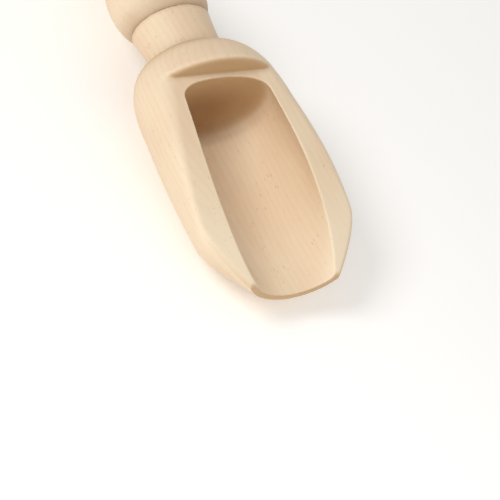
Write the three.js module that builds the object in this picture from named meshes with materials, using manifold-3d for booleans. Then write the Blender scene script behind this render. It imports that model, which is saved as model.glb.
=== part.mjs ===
// A turned wooden feed scoop: a hollow head cut open along its top, and a handle glued into
// its neck with a round tenon.
//
// Millimetres, +Z up. The turning axis runs along X with the mouth towards +X, and the hollow
// opens upwards. Distances along the axis are counted from the corner between neck and
// shoulder, and heights from the axis. The finished group stands with the middle of its
// bounding box over the origin and the belly of the head on Z = 0.

import * as THREE from 'three';
import { mergeVertices } from 'three/addons/utils/BufferGeometryUtils.js';
import Module from 'manifold-3d';

const manifold = await Module();
manifold.setup();

// ---- Driving dimensions ----

const WIDTH_TO_HEIGHT = 1.25;        // the whole section is oval
const GAP = 0.3;                     // glue gap between tenon and socket, and at the joint ring

const HEAD_LENGTH = 111;             // neck corner to lip
const BODY_RADIUS = 30;              // the widest place of the head
const BODY_X = 83;                   // where that is
const TOP_HEIGHT = 0.86;             // height of the head above the axis, against its depth below
const SHOULDER_RADIUS = 27.6;
const SHOULDER_LENGTH = 31;
const LIP_RADIUS = 19.9;

const NECK_LENGTH = 18.6;
const NECK_RADIUS = 13.3;            // at the corner with the shoulder
const NECK_END_RADIUS = 14.6;        // flared out to the joint ring
const JOINT_ROUND = 0.4;             // rounded edge of the neck at the joint ring

const BORE_RADIUS = 20.4;
const MOUTH_RADIUS = 17.2;           // the bore closes a little towards the lip
const MOUTH_TAPER_X = 58;            // from here on
const BORE_BACK = 19.4;              // where the hollow starts
const BORE_CORNER = 8.7;             // length of its dished back end

const RISER_X = 18.6;                // upright face behind the cut-away
const RISER_ROUND = 1.2;             // hollow corner at its foot
const RIM_HEIGHT = 13.4;             // height of the rim at the riser
const RIM_SLOPE = THREE.MathUtils.degToRad(7.5);
const RIM_FLAT_LENGTH = 18;          // the first stretch of the rim is flat, the rest bends down
const TIP_HEIGHT = -8.6;             // height of the rim at the lip

const TENON_RADIUS = 7;
const TENON_LENGTH = 26;
const TENON_CHAMFER = 0.8;

const HANDLE_LENGTH = 93.1;          // joint ring to the end, without the tenon
const HANDLE_START_RADIUS = 14.3;    // at the joint ring
const HANDLE_START_ROUND = 0.3;      // its rounded edge
const SWELL_RADIUS = 17;             // the bulb next to the joint ring
const SWELL_X = 13.9;                // distances along the handle count from its start
const WAIST_RADIUS = 11.2;
const WAIST_X = 46.4;
const KNOB_RADIUS = 14.6;            // the swell at the far end
const KNOB_X = 75.4;
const END_FLAT_RADIUS = 4.5;         // flat left where the handle is parted off

const TURNS = 56;                    // facets round the axis
const CURVE_STEPS = 9;               // facets along each curve of an outline

// ---- Turning, extruding, joining and cutting ----

// Turns an outline of (x along the axis, y = radius) about the X axis.
function turned(outline) {
  const points = outline.getPoints(CURVE_STEPS).map((p) => new THREE.Vector2(p.y, p.x));
  const geometry = new THREE.LatheGeometry(points, TURNS);
  geometry.rotateZ(-Math.PI / 2);
  return geometry;
}

function widened(geometry) {
  return geometry.scale(1, WIDTH_TO_HEIGHT, 1);
}

function flattenedAbove(geometry) {
  const position = geometry.attributes.position;
  for (let i = 0; i < position.count; i += 1) {
    position.setZ(i, Math.min(position.getZ(i), position.getZ(i) * TOP_HEIGHT));
  }
  return geometry;
}

function solid(geometry) {
  const bare = geometry.clone();
  bare.deleteAttribute('normal');
  bare.deleteAttribute('uv');
  const merged = mergeVertices(bare, 1e-4);
  return new manifold.Manifold(new manifold.Mesh({
    numProp: 3,
    vertProperties: new Float32Array(merged.attributes.position.array),
    triVerts: new Uint32Array(merged.index.array),
  }));
}

function geometryOf(shape) {
  const mesh = shape.getMesh();
  const geometry = new THREE.BufferGeometry();
  geometry.setAttribute('position', new THREE.BufferAttribute(mesh.vertProperties, 3));
  geometry.setIndex(new THREE.BufferAttribute(mesh.triVerts, 1));
  geometry.computeVertexNormals();
  return geometry;
}

// ---- Head ----

function neck() {
  const outline = new THREE.Path();
  outline.moveTo(-NECK_LENGTH, 0);
  outline.lineTo(-NECK_LENGTH, NECK_END_RADIUS - JOINT_ROUND);
  outline.quadraticCurveTo(
    -NECK_LENGTH, NECK_END_RADIUS,
    -NECK_LENGTH + JOINT_ROUND, NECK_END_RADIUS,
  );
  outline.quadraticCurveTo(-NECK_LENGTH * 0.5, NECK_RADIUS, 0, NECK_RADIUS);
  outline.lineTo(3, NECK_RADIUS - 1);
  outline.lineTo(3, 0);
  return turned(outline);
}

function body() {
  const outline = new THREE.Path();
  outline.moveTo(-1, 0);
  outline.lineTo(-1, NECK_RADIUS - 1);
  outline.lineTo(0, NECK_RADIUS);
  outline.bezierCurveTo(0.5, 20.8, 7.5, 26.8, SHOULDER_LENGTH, SHOULDER_RADIUS);
  outline.quadraticCurveTo(56, BODY_RADIUS, BODY_X, BODY_RADIUS);
  outline.bezierCurveTo(BODY_X + 7, BODY_RADIUS, BODY_X + 14, 25.8, HEAD_LENGTH, LIP_RADIUS);
  outline.lineTo(HEAD_LENGTH, 0);
  return flattenedAbove(turned(outline));
}

// The bore has a dished back end, narrows towards the mouth and runs out past the lip.
function hollow() {
  const past = HEAD_LENGTH + 5;
  const taper = (BORE_RADIUS - MOUTH_RADIUS) / (HEAD_LENGTH - MOUTH_TAPER_X);
  const outline = new THREE.Path();
  outline.moveTo(BORE_BACK, 0);
  outline.bezierCurveTo(
    BORE_BACK, BORE_RADIUS * 0.66,
    BORE_BACK + BORE_CORNER * 0.34, BORE_RADIUS,
    BORE_BACK + BORE_CORNER, BORE_RADIUS,
  );
  outline.lineTo(MOUTH_TAPER_X - 15, BORE_RADIUS);
  outline.quadraticCurveTo(
    MOUTH_TAPER_X, BORE_RADIUS,
    MOUTH_TAPER_X + 15, BORE_RADIUS - taper * 15,
  );
  outline.lineTo(past, MOUTH_RADIUS - taper * 5);
  outline.lineTo(past, 0);
  return turned(outline);
}

// The rim seen from the side: flat behind, then an arc that runs out at the lip.
function rimArc() {
  const start = new THREE.Vector2(
    RISER_X + RIM_FLAT_LENGTH,
    RIM_HEIGHT - RIM_FLAT_LENGTH * Math.tan(RIM_SLOPE),
  );
  const chord = new THREE.Vector2(HEAD_LENGTH, TIP_HEIGHT).sub(start);
  const bend = Math.atan2(-chord.y, chord.x) - RIM_SLOPE;
  const radius = chord.length() / (2 * Math.sin(bend));
  const centre = new THREE.Vector2(-Math.sin(RIM_SLOPE), -Math.cos(RIM_SLOPE));
  centre.multiplyScalar(radius).add(start);
  const from = Math.PI / 2 - RIM_SLOPE;
  return { centre, radius, from, to: from - 2.1 * bend };
}

// Everything above the rim and in front of the riser, as one block across the head.
function cutAway() {
  const across = 4 * BODY_RADIUS;
  const top = 2 * BODY_RADIUS;
  const arc = rimArc();
  const outline = new THREE.Shape();
  outline.moveTo(RISER_X, top);
  outline.lineTo(RISER_X, RIM_HEIGHT + RISER_ROUND);
  outline.quadraticCurveTo(
    RISER_X, RIM_HEIGHT,
    RISER_X + RISER_ROUND, RIM_HEIGHT - RISER_ROUND * Math.tan(RIM_SLOPE),
  );
  outline.absarc(arc.centre.x, arc.centre.y, arc.radius, arc.from, arc.to, true);
  outline.lineTo(HEAD_LENGTH + 20, top);
  const geometry = new THREE.ExtrudeGeometry(outline, {
    depth: across,
    bevelEnabled: false,
    curveSegments: CURVE_STEPS,
  });
  geometry.rotateX(Math.PI / 2);
  geometry.translate(0, across / 2, 0);
  return geometry;
}

// The blind hole in the neck that the handle's tenon is glued into.
function socket() {
  const outline = new THREE.Path();
  outline.moveTo(-NECK_LENGTH - 1, 0);
  outline.lineTo(-NECK_LENGTH - 1, TENON_RADIUS + GAP);
  outline.lineTo(TENON_LENGTH - NECK_LENGTH + GAP, TENON_RADIUS + GAP);
  outline.lineTo(TENON_LENGTH - NECK_LENGTH + GAP, 0);
  return turned(outline);
}

function scoopHead() {
  return geometryOf(
    solid(widened(neck()))
      .add(solid(widened(body())))
      .subtract(solid(widened(hollow())))
      .subtract(solid(cutAway()))
      .subtract(solid(socket())),
  );
}

// ---- Handle ----

function handleGrip() {
  const start = -NECK_LENGTH - GAP;
  const at = (distance) => start - distance;
  const outline = new THREE.Path();
  outline.moveTo(at(HANDLE_LENGTH), 0);
  outline.lineTo(at(HANDLE_LENGTH), END_FLAT_RADIUS);
  outline.bezierCurveTo(
    at(HANDLE_LENGTH), KNOB_RADIUS * 0.8,
    at(KNOB_X + 10), KNOB_RADIUS,
    at(KNOB_X), KNOB_RADIUS,
  );
  outline.bezierCurveTo(
    at(KNOB_X - 13), KNOB_RADIUS,
    at(WAIST_X + 11), WAIST_RADIUS,
    at(WAIST_X), WAIST_RADIUS,
  );
  outline.bezierCurveTo(
    at(WAIST_X - 12), WAIST_RADIUS,
    at(SWELL_X + 12), SWELL_RADIUS,
    at(SWELL_X), SWELL_RADIUS,
  );
  outline.bezierCurveTo(
    at(SWELL_X - 7.5), SWELL_RADIUS,
    at(3.6), 15.8,
    at(HANDLE_START_ROUND), HANDLE_START_RADIUS,
  );
  outline.lineTo(start, HANDLE_START_RADIUS - HANDLE_START_ROUND);
  outline.lineTo(start, 0);
  return turned(outline);
}

function tenon() {
  const end = TENON_LENGTH - NECK_LENGTH;
  const outline = new THREE.Path();
  outline.moveTo(-NECK_LENGTH - 5, 0);
  outline.lineTo(-NECK_LENGTH - 5, TENON_RADIUS);
  outline.lineTo(end - TENON_CHAMFER, TENON_RADIUS);
  outline.lineTo(end, TENON_RADIUS - TENON_CHAMFER);
  outline.lineTo(end, 0);
  return turned(outline);
}

function handle() {
  return geometryOf(solid(widened(handleGrip())).add(solid(tenon())));
}

// ---- Assembly ----

function part(name, geometry, color, roughness) {
  const material = new THREE.MeshStandardMaterial({ color, roughness, metalness: 0 });
  const mesh = new THREE.Mesh(geometry, material);
  mesh.name = name;
  return mesh;
}

const scoop = new THREE.Group();
scoop.add(part('scoop_head', scoopHead(), 0xecd3ac, 0.62));
scoop.add(part('handle', handle(), 0xe8cda3, 0.6));

const handleEnd = -NECK_LENGTH - GAP - HANDLE_LENGTH;
scoop.position.set(-(HEAD_LENGTH + handleEnd) / 2, 0, BODY_RADIUS);

export default scoop;
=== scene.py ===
"""The looks of a turned wooden feed scoop: a cut-away head and a handle glued into its neck.

Each piece is a signed distance field, meshed on a grid whose points are then drawn onto the
surface, so that every edge has the soft rounding that sanding leaves. The wood is procedural. Shapes are
in millimetres, along the turning axis from the corner between neck and shoulder, and heights
are from the axis. The meshes are in metres in the part's frame.
"""

import math

import bpy
import numpy as np
from mathutils import Matrix, Vector


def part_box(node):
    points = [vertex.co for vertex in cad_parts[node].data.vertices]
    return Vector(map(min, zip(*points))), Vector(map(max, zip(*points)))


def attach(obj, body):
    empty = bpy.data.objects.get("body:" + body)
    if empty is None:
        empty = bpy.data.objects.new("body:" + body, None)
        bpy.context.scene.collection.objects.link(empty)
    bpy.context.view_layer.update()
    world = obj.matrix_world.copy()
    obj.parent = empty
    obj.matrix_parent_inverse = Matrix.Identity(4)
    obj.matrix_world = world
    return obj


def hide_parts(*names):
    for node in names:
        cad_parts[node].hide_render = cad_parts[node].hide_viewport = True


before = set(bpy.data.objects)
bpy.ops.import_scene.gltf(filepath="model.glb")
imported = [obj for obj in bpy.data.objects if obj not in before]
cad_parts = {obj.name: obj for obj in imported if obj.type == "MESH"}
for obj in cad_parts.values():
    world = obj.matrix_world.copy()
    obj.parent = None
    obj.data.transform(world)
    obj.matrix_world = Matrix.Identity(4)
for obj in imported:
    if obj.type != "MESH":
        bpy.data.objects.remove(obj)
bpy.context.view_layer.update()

# ---- Driving dimensions, millimetres ----

MM = 0.001
WIDTH_TO_HEIGHT = 1.25          # the whole section is oval
GAP = 0.3                       # glue gap between tenon and socket, and at the joint ring
SEEN_GAP = 0.04                 # what the glue leaves open of it at the joint ring

HEAD_LENGTH = 111
BODY_RADIUS = 30
BODY_X = 83
TOP_HEIGHT = 0.86               # height of the head above the axis, against its depth below
SHOULDER_RADIUS = 27.6
SHOULDER_LENGTH = 31
LIP_RADIUS = 19.9

NECK_LENGTH = 18.6
NECK_RADIUS = 13.3
NECK_END_RADIUS = 14.6
JOINT_ROUND = 0.4               # rounded edge of the neck at the joint ring

BORE_RADIUS = 20.4
MOUTH_RADIUS = 17.2             # the bore closes a little towards the lip
MOUTH_TAPER_X = 58
BORE_BACK = 19.4
BORE_CORNER = 8.7

RISER_X = 18.6
RISER_ROUND = 1.2
RIM_HEIGHT = 13.4
RIM_SLOPE = math.radians(7.5)
RIM_FLAT_LENGTH = 18
TIP_HEIGHT = -8.6

TENON_RADIUS = 7
TENON_LENGTH = 26
TENON_CHAMFER = 0.8

HANDLE_LENGTH = 93.1
HANDLE_START_RADIUS = 14.3
HANDLE_START_ROUND = 0.3
SWELL_RADIUS = 17
SWELL_X = 13.9
WAIST_RADIUS = 11.2
WAIST_X = 46.4
KNOB_RADIUS = 14.6
KNOB_X = 75.4
END_FLAT_RADIUS = 4.5

RIM_EDGE = 2.0                  # sanded rounding of the rim's outer edge near the mouth
BACK_EDGE = 3.0                 # and near the shoulder, with the top of the riser
INNER_EDGE = 0.7                # and of the hollow's edge and the lip
NECK_FILLET = 2.5
SOCKET_EDGE = 0.4

CURVE_STEPS = 40                # points along each curve of an outline
TABLE_STEP = 0.2                # grid of the flat distance tables
HEAD_STEP = 0.63                # grid of the meshes
HANDLE_STEP = 0.55

head_low, head_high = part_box("scoop_head")
AXIS_ORIGIN = Vector((
    head_high.x / MM - HEAD_LENGTH,
    0,
    (head_high.y - head_low.y) / MM / 2 / WIDTH_TO_HEIGHT,
))


# ---- Outlines ----

def line(*points):
    return [np.array(p, float) for p in points]


def bezier(*controls):
    """Points along a quadratic or cubic curve, without its first point."""
    t = np.linspace(0, 1, CURVE_STEPS + 1)[1:, None]
    order = len(controls) - 1
    curve = sum(
        math.comb(order, i) * (1 - t) ** (order - i) * t ** i * np.array(c, float)
        for i, c in enumerate(controls)
    )
    return list(curve)


def neck_outline():
    end = -NECK_LENGTH
    corner = (0, NECK_RADIUS)
    return np.array(
        line((end, 0), (end, NECK_END_RADIUS - JOINT_ROUND))
        + bezier((end, NECK_END_RADIUS - JOINT_ROUND), (end, NECK_END_RADIUS),
                 (end + JOINT_ROUND, NECK_END_RADIUS))
        + bezier((end + JOINT_ROUND, NECK_END_RADIUS), (end * 0.5, NECK_RADIUS), corner)
        + line((3, NECK_RADIUS - 1), (3, 0))
    )


def body_outline():
    corner = (0, NECK_RADIUS)
    shoulder = (SHOULDER_LENGTH, SHOULDER_RADIUS)
    body = (BODY_X, BODY_RADIUS)
    return np.array(
        line((-1, 0), (-1, NECK_RADIUS - 1), corner)
        + bezier(corner, (0.5, 20.8), (7.5, 26.8), shoulder)
        + bezier(shoulder, (56, BODY_RADIUS), body)
        + bezier(body, (BODY_X + 7, BODY_RADIUS), (BODY_X + 14, 25.8), (HEAD_LENGTH, LIP_RADIUS))
        + line((HEAD_LENGTH, 0))
    )


def hollow_outline():
    back = (BORE_BACK, 0)
    side = (BORE_BACK + BORE_CORNER, BORE_RADIUS)
    past = HEAD_LENGTH + 5
    taper = (BORE_RADIUS - MOUTH_RADIUS) / (HEAD_LENGTH - MOUTH_TAPER_X)
    straight = (MOUTH_TAPER_X - 15, BORE_RADIUS)
    return np.array(
        line(back)
        + bezier(back, (BORE_BACK, BORE_RADIUS * 0.66),
                 (BORE_BACK + BORE_CORNER * 0.34, BORE_RADIUS), side)
        + line(straight)
        + bezier(straight, (MOUTH_TAPER_X, BORE_RADIUS),
                 (MOUTH_TAPER_X + 15, BORE_RADIUS - taper * 15))
        + line((past, MOUTH_RADIUS - taper * 5), (past, 0))
    )


def rim_outline():
    """The riser and the rim from the side: flat behind, then an arc past the lip."""
    foot = (RISER_X, RIM_HEIGHT + RISER_ROUND)
    flat = (RISER_X + RISER_ROUND, RIM_HEIGHT - RISER_ROUND * math.tan(RIM_SLOPE))
    bend_x = RISER_X + RIM_FLAT_LENGTH
    bend_z = RIM_HEIGHT - RIM_FLAT_LENGTH * math.tan(RIM_SLOPE)
    across, down = HEAD_LENGTH - bend_x, bend_z - TIP_HEIGHT
    bend = math.atan2(down, across) - RIM_SLOPE
    radius = math.hypot(across, down) / (2 * math.sin(bend))
    turn = RIM_SLOPE + np.linspace(0, 2.3 * bend, CURVE_STEPS)
    arc = np.stack([
        bend_x + radius * (np.sin(turn) - math.sin(RIM_SLOPE)),
        bend_z - radius * (math.cos(RIM_SLOPE) - np.cos(turn)),
    ], axis=1)
    return np.array(
        line((RISER_X, 3 * BODY_RADIUS), foot)
        + bezier(foot, (RISER_X, RIM_HEIGHT), flat)
        + list(arc)
    )


def handle_outline():
    start = -NECK_LENGTH - GAP

    def at(distance, radius):
        return (start - distance, radius)

    end = at(HANDLE_LENGTH, END_FLAT_RADIUS)
    knob = at(KNOB_X, KNOB_RADIUS)
    waist = at(WAIST_X, WAIST_RADIUS)
    swell = at(SWELL_X, SWELL_RADIUS)
    first = at(HANDLE_START_ROUND, HANDLE_START_RADIUS)
    foot = (-NECK_LENGTH - SEEN_GAP, HANDLE_START_RADIUS - HANDLE_START_ROUND)
    return np.array(
        line(at(HANDLE_LENGTH, 0), end)
        + bezier(end, at(HANDLE_LENGTH, KNOB_RADIUS * 0.8), at(KNOB_X + 10, KNOB_RADIUS), knob)
        + bezier(knob, at(KNOB_X - 13, KNOB_RADIUS), at(WAIST_X + 11, WAIST_RADIUS), waist)
        + bezier(waist, at(WAIST_X - 12, WAIST_RADIUS), at(SWELL_X + 12, SWELL_RADIUS), swell)
        + bezier(swell, at(SWELL_X - 7.5, SWELL_RADIUS), at(3.6, 15.8), first)
        + line(foot, (foot[0], 0))
    )


# ---- Distance fields: negative inside ----

def flat_distance(outline, low, high, above=False):
    """A table of the signed distance to an outline, as a function of (along, up), negative
    under it or above it. The outline runs along +X, and its upright ends count as walls."""
    along = np.arange(low[0], high[0], TABLE_STEP)
    up = np.arange(low[1], high[1], TABLE_STEP)
    a, u = np.meshgrid(along, up, indexing="ij")
    nearest = np.full(a.shape, np.inf)
    for p, q in zip(outline[:-1], outline[1:]):
        edge = q - p
        length2 = max(edge @ edge, 1e-12)
        t = np.clip(((a - p[0]) * edge[0] + (u - p[1]) * edge[1]) / length2, 0, 1)
        gap2 = (a - p[0] - t * edge[0]) ** 2 + (u - p[1] - t * edge[1]) ** 2
        np.minimum(nearest, gap2, out=nearest)
    height = np.interp(a, outline[:, 0], outline[:, 1])
    inside = (u > height) if above else (u < height)
    inside &= (a > outline[0, 0]) & (a < outline[-1, 0])
    table = np.where(inside, -1, 1) * np.sqrt(nearest)

    def distance(x, y):
        i = np.clip((x - low[0]) / TABLE_STEP, 0, len(along) - 1.001)
        j = np.clip((y - low[1]) / TABLE_STEP, 0, len(up) - 1.001)
        i0, j0 = i.astype(int), j.astype(int)
        s, t = i - i0, j - j0
        return (
            (table[i0, j0] * (1 - s) + table[i0 + 1, j0] * s) * (1 - t)
            + (table[i0, j0 + 1] * (1 - s) + table[i0 + 1, j0 + 1] * s) * t
        )

    return distance


def turned_distance(outline):
    margin = 4
    return flat_distance(
        outline,
        (outline[:, 0].min() - margin, 0),
        (outline[:, 0].max() + margin, outline[:, 1].max() + margin),
    )


def cut_round(body, tool, radius):
    """The body with the tool taken away, and the new edge rounded."""
    over = np.hypot(np.maximum(radius + body, 0), np.maximum(radius - tool, 0))
    return np.minimum(-radius, np.maximum(body, -tool)) + over


def join_round(one, other, radius):
    """Both together, with a fillet where they meet."""
    under = np.hypot(np.maximum(radius - one, 0), np.maximum(radius - other, 0))
    return np.maximum(radius, np.minimum(one, other)) - under


def smooth_step(value, start, end):
    t = np.clip((value - start) / (end - start), 0, 1)
    return t * t * (3 - 2 * t)


neck_distance = turned_distance(neck_outline())
body_distance = turned_distance(body_outline())
hollow_distance = turned_distance(hollow_outline())
removed_distance = flat_distance(
    rim_outline(), (-NECK_LENGTH - 4, -40), (HEAD_LENGTH + 8, 40), above=True
)
grip_distance = turned_distance(handle_outline())


def socket_distance(x, y, z):
    end = TENON_LENGTH - NECK_LENGTH + GAP
    return np.maximum(np.hypot(y, z) - TENON_RADIUS - GAP, x - end)


def head_field(x, y, z):
    across = y / WIDTH_TO_HEIGHT
    radius = np.hypot(across, z)
    body = body_distance(x, np.hypot(across, np.maximum(z, z / TOP_HEIGHT)))
    outside = join_round(neck_distance(x, radius), body, NECK_FILLET)
    edge = BACK_EDGE + (RIM_EDGE - BACK_EDGE) * smooth_step(x, RISER_X + 8, RISER_X + 45)
    head = cut_round(outside, removed_distance(x, z), edge)
    head = cut_round(head, hollow_distance(x, radius), INNER_EDGE)
    return cut_round(head, socket_distance(x, y, z), SOCKET_EDGE)


def tenon_distance(x, y, z):
    end = TENON_LENGTH - NECK_LENGTH
    radius = np.hypot(y, z)
    side = np.maximum(radius - TENON_RADIUS, x - end)
    chamfer = (radius - TENON_RADIUS + x - end + TENON_CHAMFER) / math.sqrt(2)
    root = -NECK_LENGTH - 6 - x
    return np.maximum(np.maximum(side, chamfer), root)


def handle_field(x, y, z):
    grip = grip_distance(x, np.hypot(y / WIDTH_TO_HEIGHT, z))
    return np.minimum(grip, tenon_distance(x, y, z))


# ---- Meshing a field ----

CORNERS = np.array([(i, j, k) for i in (0, 1) for j in (0, 1) for k in (0, 1)])
EDGES = [
    (a, b)
    for a in range(8)
    for b in range(a + 1, 8)
    if np.abs(CORNERS[a] - CORNERS[b]).sum() == 1
]


def sample(field, low, high, step):
    axes = [np.arange(a, b + step, step) for a, b in zip(low, high)]
    values = np.empty([len(a) for a in axes], np.float32)
    y, z = np.meshgrid(axes[1], axes[2], indexing="ij")
    for i, x in enumerate(axes[0]):
        values[i] = field(np.full_like(y, x), y, z)
    return values


def cell_points(values, cells):
    """The middle of the places where the surface crosses each cell's edges."""
    corner = [values[tuple((cells + c).T)] for c in CORNERS]
    total = np.zeros((len(cells), 3))
    count = np.zeros(len(cells))
    for a, b in EDGES:
        crossed = (corner[a] < 0) != (corner[b] < 0)
        share = corner[a][crossed] / (corner[a][crossed] - corner[b][crossed])
        total[crossed] += CORNERS[a] + share[:, None] * (CORNERS[b] - CORNERS[a])
        count[crossed] += 1
    return cells + total / count[:, None]


def quads_across(values, number, axis):
    """One quad round each grid edge along the axis that the surface crosses."""
    ahead = np.roll(values, -1, axis)
    crossed = (values < 0) != (ahead < 0)
    crossed[(slice(None),) * axis + (-1,)] = False
    at = np.argwhere(crossed)
    unit = np.eye(3, dtype=int)
    one, two = unit[(axis + 1) % 3], unit[(axis + 2) % 3]
    ring = [at, at - one, at - one - two, at - two]
    quads = np.stack([number[tuple(p.T)] for p in ring], axis=1)
    leaving = values[tuple(at.T)] < 0
    quads[~leaving] = quads[~leaving][:, ::-1]
    return quads


def onto_surface(field, points, rounds=4):
    """The points drawn onto the field's zero surface, and the normals there."""
    probe = 0.02
    for _ in range(rounds):
        here = field(*points.T)
        slope = np.stack([
            (field(*(points + d).T) - field(*(points - d).T)) / (2 * probe)
            for d in np.eye(3) * probe
        ], axis=1)
        steep = np.maximum((slope ** 2).sum(1), 0.05)
        points = points - (here / steep)[:, None] * slope
    return points, slope / np.sqrt(steep)[:, None]


def evened(points, quads):
    """Each point moved half way to the middle of its neighbours."""
    total = np.zeros_like(points)
    count = np.zeros(len(points))
    for a, b in ((0, 1), (1, 2), (2, 3), (3, 0)):
        for p, q in ((a, b), (b, a)):
            np.add.at(total, quads[:, p], points[quads[:, q]])
            np.add.at(count, quads[:, p], 1)
    return (points + total / count[:, None]) / 2


def mesh_of(field, low, high, step):
    """Points, quads and normals of a field's surface: one point in each cell it passes through."""
    values = sample(field, low, high, step)
    inside = values < 0
    any_inside = np.zeros(np.array(values.shape) - 1, bool)
    all_inside = np.ones_like(any_inside)
    n = any_inside.shape
    for i, j, k in CORNERS:
        corner = inside[i:n[0] + i, j:n[1] + j, k:n[2] + k]
        any_inside |= corner
        all_inside &= corner
    cells = np.argwhere(any_inside & ~all_inside)
    number = np.full(values.shape, -1)
    number[tuple(cells.T)] = np.arange(len(cells))
    points = np.array(low) + cell_points(values, cells) * step
    quads = np.concatenate([quads_across(values, number, axis) for axis in range(3)])
    for _ in range(3):
        points = evened(onto_surface(field, points, 2)[0], quads)
    points, normals = onto_surface(field, points)
    return points, quads, normals


def piece_from(name, field, low, high, step):
    points, quads, normals = mesh_of(field, low, high, step)
    mesh = bpy.data.meshes.new(name)
    placed = (points + np.array(AXIS_ORIGIN)) * MM
    mesh.from_pydata(placed.tolist(), [], quads.tolist())
    mesh.update()
    mesh.normals_split_custom_set_from_vertices(normals.tolist())
    piece = bpy.data.objects.new(name, mesh)
    bpy.context.collection.objects.link(piece)
    note(piece, "end_grain", smooth_step(np.abs(normals[:, 0]), 0.35, 0.95))
    return piece, points


def note(piece, name, values):
    """Keeps one number for each point of the mesh, for the material to read."""
    attribute = piece.data.attributes.new(name, "FLOAT", "POINT")
    attribute.data.foreach_set("value", np.clip(values, 0, 1).astype(np.float32))


# ---- Pieces ----

def near(distance, width):
    """1 at no distance, fading out over the width."""
    return np.exp(-(distance / width) ** 2)


def head_dust_and_shade(x, y, z):
    """Dust and painted shade: dust and painted crease shade at the joint ring, darker in the neck
    corner, painted shade at the foot of the riser and at the back of the hollow.

    The back of the hollow is end grain; its darkening towards the foot and the back is painted shade.
    """
    radius = np.hypot(y / WIDTH_TO_HEIGHT, z)
    # dust and painted crease shade at the joint ring
    ring = 0.22 * near(x + NECK_LENGTH, 1.2)
    corner = 0.12 * near(x, 3) * near(radius - NECK_RADIUS - 1, 3)
    inside = smooth_step(-body_distance(x, radius), 1.0, 4.0)
    # painted shade at the foot of the riser
    foot = 0.15 * inside * near(np.hypot(x - RISER_X, z - RIM_HEIGHT), 1.4)
    in_hollow = near(hollow_distance(x, radius), 1.2)
    back = smooth_step(-x, -BORE_BACK - 12, -BORE_BACK - 4)
    deep = smooth_step(-z, -14, 8)
    side = near(y, 24)
    # painted shade, deep in the back of the hollow
    hollow_shade = 0.75 * in_hollow * back * deep * side
    return np.maximum(np.maximum(ring, corner), np.maximum(foot, hollow_shade))


def head_wear_and_light(x, y, z):
    """Paler colour: the rim's edges, rubbed pale by hands and grain, and painted light on its flats near
    the mouth.
    """
    across = y / WIDTH_TO_HEIGHT
    radius = np.hypot(across, z)
    body = body_distance(x, np.hypot(across, np.maximum(z, z / TOP_HEIGHT)))
    cut = removed_distance(x, z)
    outer = 0.6 * near(np.hypot(body, cut), 1.6)
    inner = 0.6 * near(np.hypot(hollow_distance(x, radius), cut), 1.0)
    # painted light: the flats paler towards the tips
    lit_tips = smooth_step(x, MOUTH_TAPER_X, HEAD_LENGTH - 10) * near(cut, 4)
    return np.maximum(np.maximum(outer, inner), lit_tips)


def handle_dust_and_shade(x):
    """Dust and painted shade at the joint ring and on the slope past it, and dust on the far end."""
    past = -NECK_LENGTH - GAP - x
    # dust and painted shade at the ring, painted shade on the handle's slope past it
    ring = 0.2 * near(past, 1.2) + 0.3 * near(past - 1.5, 5)
    end = 0.3 * near(past - HANDLE_LENGTH, 2)
    return np.maximum(ring, end)


def handle_wear(x):
    """Where the palm lies."""
    middle = -NECK_LENGTH - GAP - (SWELL_X + KNOB_X) / 2
    return 0.5 * near(x - middle, 30)


def make_head():
    reach = BODY_RADIUS * WIDTH_TO_HEIGHT + 1
    low = (-NECK_LENGTH - 1, -reach, -BODY_RADIUS - 1)
    high = (HEAD_LENGTH + 1, reach, BODY_RADIUS)
    head, points = piece_from("wood_head", head_field, low, high, HEAD_STEP)
    note(head, "dust_and_shade", head_dust_and_shade(*points.T))
    note(head, "wear_and_light", head_wear_and_light(*points.T))
    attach(head, "root")
    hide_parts("scoop_head")
    return head


def make_handle():
    reach = SWELL_RADIUS * WIDTH_TO_HEIGHT + 1
    low = (-NECK_LENGTH - GAP - HANDLE_LENGTH - 1, -reach, -SWELL_RADIUS - 1)
    high = (TENON_LENGTH - NECK_LENGTH + 1, reach, SWELL_RADIUS + 1)
    handle, points = piece_from("wood_handle", handle_field, low, high, HANDLE_STEP)
    note(handle, "dust_and_shade", handle_dust_and_shade(points[:, 0]))
    note(handle, "wear_and_light", handle_wear(points[:, 0]))
    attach(handle, "root")
    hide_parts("handle")
    return handle


# ---- Beech ----

def connect(tree, socket, value):
    if isinstance(value, bpy.types.NodeSocket):
        tree.links.new(value, socket)
    else:
        socket.default_value = value


def add(tree, kind, inputs, **settings):
    node = tree.nodes.new(kind)
    for name, value in settings.items():
        setattr(node, name, value)
    for key, value in inputs.items():
        connect(tree, node.inputs[key], value)
    return node


def maths(tree, operation, *values):
    inputs = dict(enumerate(values))
    return add(tree, "ShaderNodeMath", inputs, operation=operation).outputs[0]


def moved(tree, vector, scale, offset):
    inputs = {0: vector, 1: scale, 2: offset}
    return add(tree, "ShaderNodeVectorMath", inputs, operation="MULTIPLY_ADD").outputs[0]


def noise(tree, vector, detail=2.0, roughness=0.5):
    inputs = {"Vector": vector, "Scale": 1.0, "Detail": detail, "Roughness": roughness}
    return add(tree, "ShaderNodeTexNoise", inputs).outputs["Fac"]


def ramp(tree, value, low, high, start=0.0, end=1.0):
    inputs = {0: value, 1: low, 2: high, 3: start, 4: end}
    settings = {"interpolation_type": "SMOOTHSTEP"}
    return add(tree, "ShaderNodeMapRange", inputs, **settings).outputs[0]


def mixed(tree, factor, one, other, kind="MIX"):
    inputs = {0: factor, 6: one, 7: other}
    node = add(tree, "ShaderNodeMix", inputs, data_type="RGBA", blend_type=kind)
    return node.outputs[2]


def noted(tree, name):
    return add(tree, "ShaderNodeAttribute", {}, attribute_name=name).outputs["Fac"]


def colour(red, green, blue):
    return (red, green, blue, 1)


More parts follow.
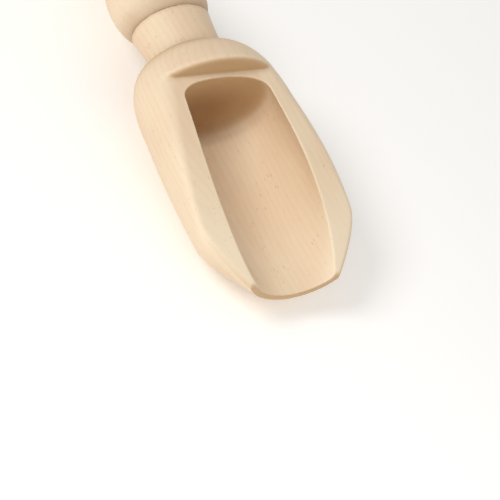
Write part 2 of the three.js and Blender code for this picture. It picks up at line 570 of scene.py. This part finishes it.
PALE_WOOD = colour(0.84, 0.685, 0.49)
WARM_WOOD = colour(0.81, 0.62, 0.43)
RING_WOOD = colour(0.66, 0.46, 0.29)
END_WOOD = colour(0.50, 0.30, 0.125)
FLECK_WOOD = colour(0.28, 0.17, 0.09)
# pale worn wood, also used for painted light on the rim's tips
WORN_AND_LIT_WOOD = colour(0.90, 0.765, 0.575)
# dust, and painted shade in the hollow, at the riser's foot and at the joint ring
DUST_AND_SHADE_WOOD = colour(0.20, 0.072, 0.010)

RING_SPACING = 2.6              # millimetres from one year to the next
RING_WAVER = 3.0                # how many years the lines waver by
BUMP_HEIGHT = 0.06 * MM


def ring_pattern(tree, millimetres, pith, offset):
    """Thin latewood lines round a pith that lies outside the piece, wavering a little."""
    waver = noise(tree, moved(tree, millimetres, (0.012, 0.05, 0.05), offset), 2)
    away = add(tree, "ShaderNodeVectorMath", {0: millimetres, 1: pith}, operation="SUBTRACT")
    across = moved(tree, away.outputs[0], (0.02, 1, 1), (0, 0, 0))
    distance = add(tree, "ShaderNodeVectorMath", {0: across}, operation="LENGTH").outputs["Value"]
    even = maths(tree, "DIVIDE", distance, RING_SPACING)
    years = maths(tree, "ADD", even, maths(tree, "MULTIPLY", waver, RING_WAVER))
    part = maths(tree, "FRACT", years)
    rise = ramp(tree, part, 0.35, 0.93)
    fall = ramp(tree, part, 0.93, 1.0, 1.0, 0.0)
    return maths(tree, "MULTIPLY", rise, fall)


def fleck_pattern(tree, millimetres, offset):
    """Short dark ray flecks along the grain."""
    stretched = moved(tree, millimetres, (0.16, 1.3, 1.3), offset)
    cells = add(tree, "ShaderNodeTexVoronoi", {"Vector": stretched, "Scale": 1.0})
    shape = ramp(tree, cells.outputs["Distance"], 0.07, 0.22, 1.0, 0.0)
    pick = add(tree, "ShaderNodeSeparateColor", {0: cells.outputs["Color"]}).outputs[0]
    crowd = noise(tree, moved(tree, millimetres, (0.05, 0.14, 0.14), offset), 2)
    some = maths(tree, "MULTIPLY", ramp(tree, pick, 0.3, 0.7), ramp(tree, crowd, 0.4, 0.6))
    return maths(tree, "MULTIPLY", shape, some)


def beech(name, pith, offset):
    material = bpy.data.materials.new(name)
    material.use_nodes = True
    tree = material.node_tree
    shader = tree.nodes["Principled BSDF"]
    place = tree.nodes.new("ShaderNodeTexCoord").outputs["Object"]
    millimetres = moved(tree, place, (1000, 1000, 1000), (0, 0, 0))

    broad = noise(tree, moved(tree, millimetres, (0.016, 0.05, 0.05), offset), 3)
    fibre = noise(tree, moved(tree, millimetres, (0.09, 3.2, 3.2), offset), 3, 0.6)
    pores = noise(tree, moved(tree, millimetres, (5, 5, 5), offset), 2)
    rings = ring_pattern(tree, millimetres, pith, offset)
    flecks = fleck_pattern(tree, millimetres, offset)
    end_grain, dust_and_shade, wear_and_light = (noted(tree, n) for n in ("end_grain", "dust_and_shade", "wear_and_light"))
    along = maths(tree, "SUBTRACT", 1.0, end_grain)

    wood = mixed(tree, ramp(tree, broad, 0.35, 0.68), PALE_WOOD, WARM_WOOD)
    wood = mixed(tree, maths(tree, "MULTIPLY", rings, 0.13), wood, RING_WOOD)
    streak = maths(tree, "MULTIPLY", ramp(tree, fibre, 0.45, 0.75), 0.16)
    wood = mixed(tree, maths(tree, "MULTIPLY", streak, along), wood, RING_WOOD)
    # wear, and painted light on the rim's tips: paler
    wood = mixed(tree, maths(tree, "MULTIPLY", wear_and_light, 0.7), wood, WORN_AND_LIT_WOOD)
    dash = maths(tree, "MULTIPLY", maths(tree, "MULTIPLY", flecks, 0.6), along)
    wood = mixed(tree, dash, wood, FLECK_WOOD)
    speckle = maths(tree, "ADD", 0.72, maths(tree, "MULTIPLY", ramp(tree, pores, 0.4, 0.7), 0.25))
    wood = mixed(tree, maths(tree, "MULTIPLY", end_grain, speckle), wood, END_WOOD)
    uneven = maths(tree, "ADD", 0.75, maths(tree, "MULTIPLY", broad, 0.4))
    # dust and painted shade: darker
    wood = mixed(tree, maths(tree, "MULTIPLY", dust_and_shade, uneven), wood, DUST_AND_SHADE_WOOD)
    tree.links.new(wood, shader.inputs["Base Color"])

    rough = maths(tree, "ADD", 0.50, maths(tree, "MULTIPLY", fibre, 0.18))
    rough = maths(tree, "SUBTRACT", rough, maths(tree, "MULTIPLY", wear_and_light, 0.08))
    rough = maths(tree, "ADD", rough, maths(tree, "MULTIPLY", dust_and_shade, 0.15))
    tree.links.new(rough, shader.inputs["Roughness"])

    sunk = maths(tree, "MULTIPLY", flecks, 0.25)
    height = maths(tree, "SUBTRACT", maths(tree, "MULTIPLY", fibre, 0.6), sunk)
    height = maths(tree, "ADD", height, maths(tree, "MULTIPLY", pores, 0.15))
    bump = add(tree, "ShaderNodeBump", {"Strength": 0.35, "Distance": BUMP_HEIGHT, "Height": height})
    tree.links.new(bump.outputs[0], shader.inputs["Normal"])
    return material


# ---- Stage, lights and camera ----

def make_floor():
    bpy.ops.mesh.primitive_plane_add(size=6, location=(0, 0, 0))
    floor = bpy.context.object
    floor.name = "floor"
    material = bpy.data.materials.new("floor")
    material.use_nodes = True
    shader = material.node_tree.nodes["Principled BSDF"]
    shader.inputs["Base Color"].default_value = (0.97, 0.97, 0.97, 1)
    shader.inputs["Roughness"].default_value = 0.9
    shader.inputs["Emission Color"].default_value = (1, 0.995, 0.99, 1)
    shader.inputs["Emission Strength"].default_value = FLOOR_GLOW
    floor.data.materials.append(material)


VIEW_AZIMUTH = 41.0
VIEW_ELEVATION = 42.7
VIEW_ROLL = 30.55
VIEW_DISTANCE = 1.492
VIEW_AIM = Vector((0.0993, -0.0203, 0.030))
LENS = 270.8
LIT_POINT = Vector((0.03, 0, 0.03))
FLOOR_GLOW = 0.13
WORLD_GLOW = 0.58


def view_rotation(azimuth, elevation, roll=0):
    a, e = math.radians(azimuth), math.radians(elevation)
    back = Vector((math.sin(a) * math.cos(e), -math.cos(a) * math.cos(e), math.sin(e)))
    turn = (-back).to_track_quat("-Z", "Y").to_matrix() @ Matrix.Rotation(math.radians(roll), 3, "Z")
    return back, turn


def make_camera():
    back, turn = view_rotation(VIEW_AZIMUTH, VIEW_ELEVATION, VIEW_ROLL)
    data = bpy.data.cameras.new("camera")
    data.lens = LENS
    data.sensor_width = 36
    data.clip_start = 0.05
    data.clip_end = 20
    camera = bpy.data.objects.new("camera", data)
    camera.matrix_world = turn.to_4x4()
    camera.location = VIEW_AIM + back * VIEW_DISTANCE
    bpy.context.collection.objects.link(camera)
    bpy.context.scene.camera = camera
    return turn


def make_light(name, turn, direction, distance, size, power, tint):
    """A soft box in a direction given as (right, up, towards the camera) in the main view."""
    data = bpy.data.lights.new(name, "AREA")
    data.shape = "DISK"
    data.size = size
    data.energy = power
    data.color = tint
    light = bpy.data.objects.new(name, data)
    towards = (turn @ Vector(direction)).normalized()
    light.location = LIT_POINT + towards * distance
    light.rotation_mode = "QUATERNION"
    light.rotation_quaternion = towards.to_track_quat("Z", "Y")
    light.visible_camera = False
    bpy.context.collection.objects.link(light)


def make_world():
    world = bpy.data.worlds.new("studio")
    world.use_nodes = True
    shader = world.node_tree.nodes["Background"]
    shader.inputs["Color"].default_value = (1, 0.98, 0.95, 1)
    shader.inputs["Strength"].default_value = WORLD_GLOW
    bpy.context.scene.world = world
    bpy.context.scene.view_settings.view_transform = "Standard"


turn = make_camera()
make_world()
make_light(
    "key", turn, direction=(-0.40, 0.46, 0.79),
    distance=1.4, size=0.6, power=7.4, tint=(1, 0.98, 0.96),
)
make_light(
    "fill", turn, direction=(0.25, -0.3, 0.92),
    distance=0.4, size=0.3, power=0.3, tint=(1, 0.98, 0.95),
)
make_floor()
head = make_head()
handle = make_handle()
head.data.materials.append(beech("head_wood", (10, -64, -46), (3.1, 7.4, 1.9)))
handle.data.materials.append(beech("handle_wood", (40, 38, -72), (41.7, 12.2, 25.3)))
